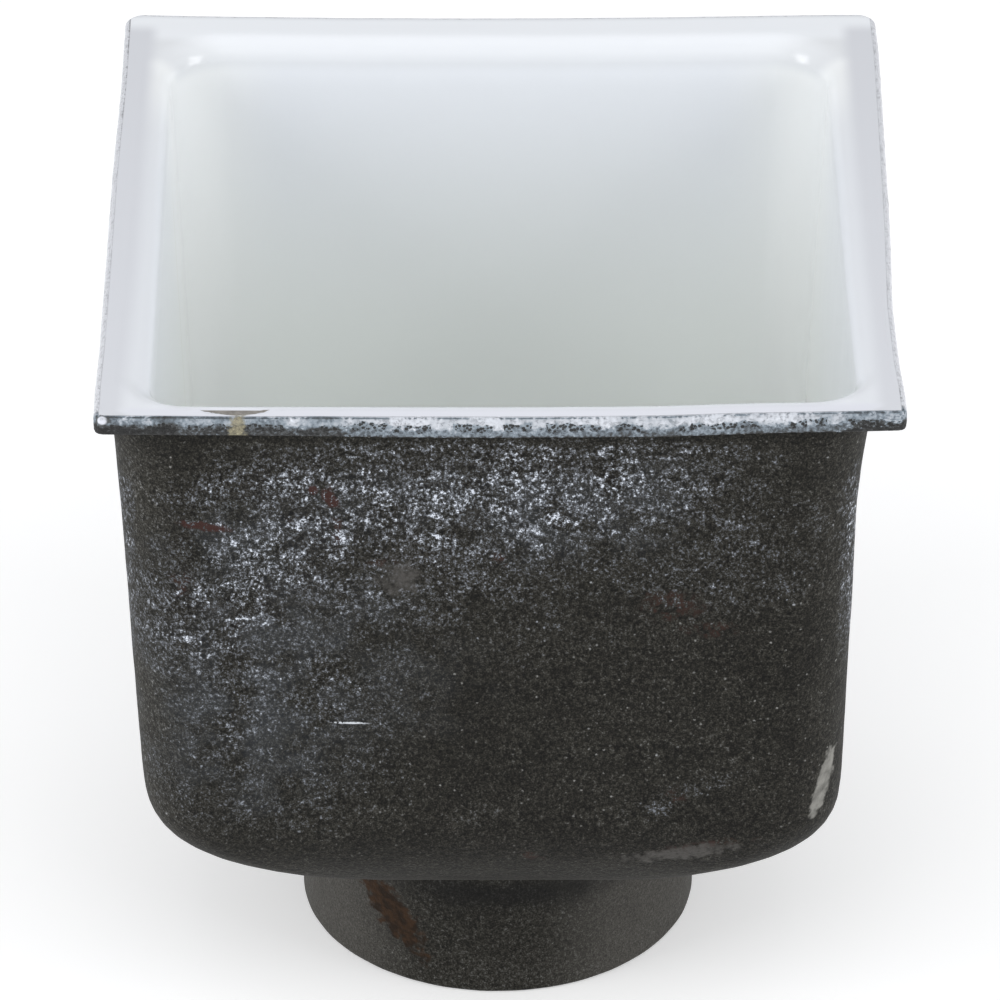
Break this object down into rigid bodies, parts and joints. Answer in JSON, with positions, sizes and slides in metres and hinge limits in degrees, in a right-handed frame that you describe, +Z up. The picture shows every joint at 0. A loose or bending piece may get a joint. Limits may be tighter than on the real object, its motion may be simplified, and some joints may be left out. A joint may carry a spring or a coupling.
{
  "type": "floor sink",
  "caption": "Square enamelled cast-iron floor sink with a thin flanged rim, a dished bottom, a round outlet hub and a loose dome strainer.",
  "frame": {"origin": "centre of the outlet hub's free end, which is the lowest point of the part and lies under the centre of the square rim", "axes": "+Z up along the outlet's axis towards the open mouth, -Y the side that faces the camera in the picture, +X to the right in the picture"},
  "size_m": [0.3078, 0.3078, 0.323],
  "materials": {
    "raw_cast_iron": "dark sand-cast surface with a fine grain, specks of white enamel overspray, small rust spots and rub marks",
    "white_enamel": "glossy fused white enamel, thin and pitted along the rim's edge",
    "cast_aluminium": "dull cast aluminium"
  },
  "bodies": {
    "basin": {"basin_casting": "raw_cast_iron", "enamel_lining": "white_enamel"},
    "strainer": {"dome_strainer": "cast_aluminium"}
  },
  "joints": [
    {"name": "strainer_lift", "type": "slide", "parent": "basin", "child": "strainer", "axis": [0, 0, 1], "range_m": [0, 0.26]}
  ]
}
